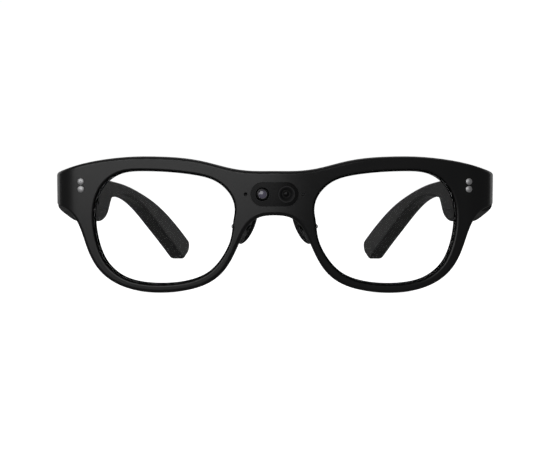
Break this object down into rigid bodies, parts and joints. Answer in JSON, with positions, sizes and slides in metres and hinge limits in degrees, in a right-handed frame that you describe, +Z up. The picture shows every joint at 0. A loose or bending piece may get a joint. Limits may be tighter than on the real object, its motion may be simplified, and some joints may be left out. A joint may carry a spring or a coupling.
{
  "type": "smart glasses",
  "caption": "Black display glasses with clear lenses, bridge cameras, rocking nose pads and folding temples that hold the electronics.",
  "frame": {"origin": "bottom centre of the open glasses, at the level of the rims' lowest points", "axes": "+X to the wearer's left, +Y back along the temples, the lenses face -Y, +Z up"},
  "size_m": [0.1536, 0.1502, 0.047],
  "materials": {
    "frame_black": "satin moulded nylon",
    "temple_black": "satin moulded nylon",
    "speaker_black": "fine matt moulded nylon",
    "clear_lens": "clear, coated",
    "waveguide": "clear display optic",
    "gasket": "matt",
    "module_black": "black camera and module housings",
    "window_glass": "dark gloss window",
    "camera_glass": "coated camera glass",
    "camera_glass_dark": "dark infrared camera glass",
    "microphone_metal": "fine mesh can",
    "indicator": "translucent light pipe",
    "flex_board": "flexible circuit",
    "stud_silver": "satin silver",
    "hinge_steel": "dark satin steel",
    "screw_steel": "dark steel",
    "pad_metal": "black-plated wire",
    "pad_silicone": "soft matt silicone",
    "battery_wrap": "foil wrap",
    "circuit_board": "circuit board with parts",
    "button_black": "smooth black",
    "touch_surface": "fine smooth black",
    "contact_gold": "gold plated"
  },
  "bodies": {
    "front": {"front_frame": "frame_black", "frame_back_cover": "frame_black", "lens_left": "clear_lens", "lens_right": "clear_lens", "lens_gasket_left": "gasket", "lens_gasket_right": "gasket", "waveguide_left": "waveguide", "waveguide_right": "waveguide", "projector_left": "module_black", "projector_right": "module_black", "camera_window": "window_glass", "main_camera": "module_black", "main_camera_lens": "camera_glass", "tracking_camera": "module_black", "tracking_camera_lens": "camera_glass_dark", "front_microphone": "microphone_metal", "indicator_light": "indicator", "brow_flex_board": "flex_board", "corner_studs": "stud_silver", "cover_screws": "screw_steel", "front_hinge_left": "hinge_steel", "front_hinge_right": "hinge_steel", "front_hinge_screws": "screw_steel", "hinge_pin_left": "hinge_steel", "hinge_pin_right": "hinge_steel", "pad_arm_left": "pad_metal", "pad_arm_right": "pad_metal", "pad_screws": "screw_steel"},
    "pad_left": {"nose_pad_left": "pad_silicone"},
    "pad_right": {"nose_pad_right": "pad_silicone"},
    "temple_left": {"temple_shell_left": "temple_black", "temple_inner_cover_left": "temple_black", "speaker_cover_left": "speaker_black", "temple_hinge_left": "hinge_steel", "temple_hinge_screws_left": "screw_steel", "temple_core_left": "hinge_steel", "battery_left": "battery_wrap", "circuit_board_left": "circuit_board", "speaker_left": "module_black"},
    "temple_right": {"temple_shell_right": "temple_black", "temple_inner_cover_right": "temple_black", "speaker_cover_right": "speaker_black", "temple_hinge_right": "hinge_steel", "temple_hinge_screws_right": "screw_steel", "temple_core_right": "hinge_steel", "battery_right": "battery_wrap", "circuit_board_right": "circuit_board", "speaker_right": "module_black", "touch_pad": "touch_surface", "charging_contacts": "contact_gold"},
    "power_button_body": {"power_button": "button_black"},
    "capture_button_body": {"capture_button": "button_black"}
  },
  "joints": [
    {"name": "temple_left_hinge", "type": "hinge", "parent": "front", "child": "temple_left", "pos_m": [0.066, -0.05935, 0.0338], "axis": [0, 0, 1], "range_deg": [0, 80]},
    {"name": "temple_right_hinge", "type": "hinge", "parent": "front", "child": "temple_right", "pos_m": [-0.066, -0.05935, 0.0338], "axis": [0, 0, -1], "range_deg": [0, 66]},
    {"name": "nose_pad_left_rock", "type": "hinge", "parent": "front", "child": "pad_left", "pos_m": [0.01073, -0.06331, 0.0229], "axis": [-0.4139, -0.8876, -0.2019], "range_deg": [-8, 8]},
    {"name": "nose_pad_right_rock", "type": "hinge", "parent": "front", "child": "pad_right", "pos_m": [-0.01073, -0.06331, 0.0229], "axis": [-0.4139, 0.8876, 0.2019], "range_deg": [-8, 8]},
    {"name": "power_button_press", "type": "slide", "parent": "temple_left", "child": "power_button_body", "axis": [0, 0, -1], "range_m": [0, 0.00035], "stiffness_N_per_m": 2500, "springref_m": -0.0001},
    {"name": "capture_button_press", "type": "slide", "parent": "temple_right", "child": "capture_button_body", "axis": [0, 0, -1], "range_m": [0, 0.00035], "stiffness_N_per_m": 2500, "springref_m": -0.0001}
  ]
}
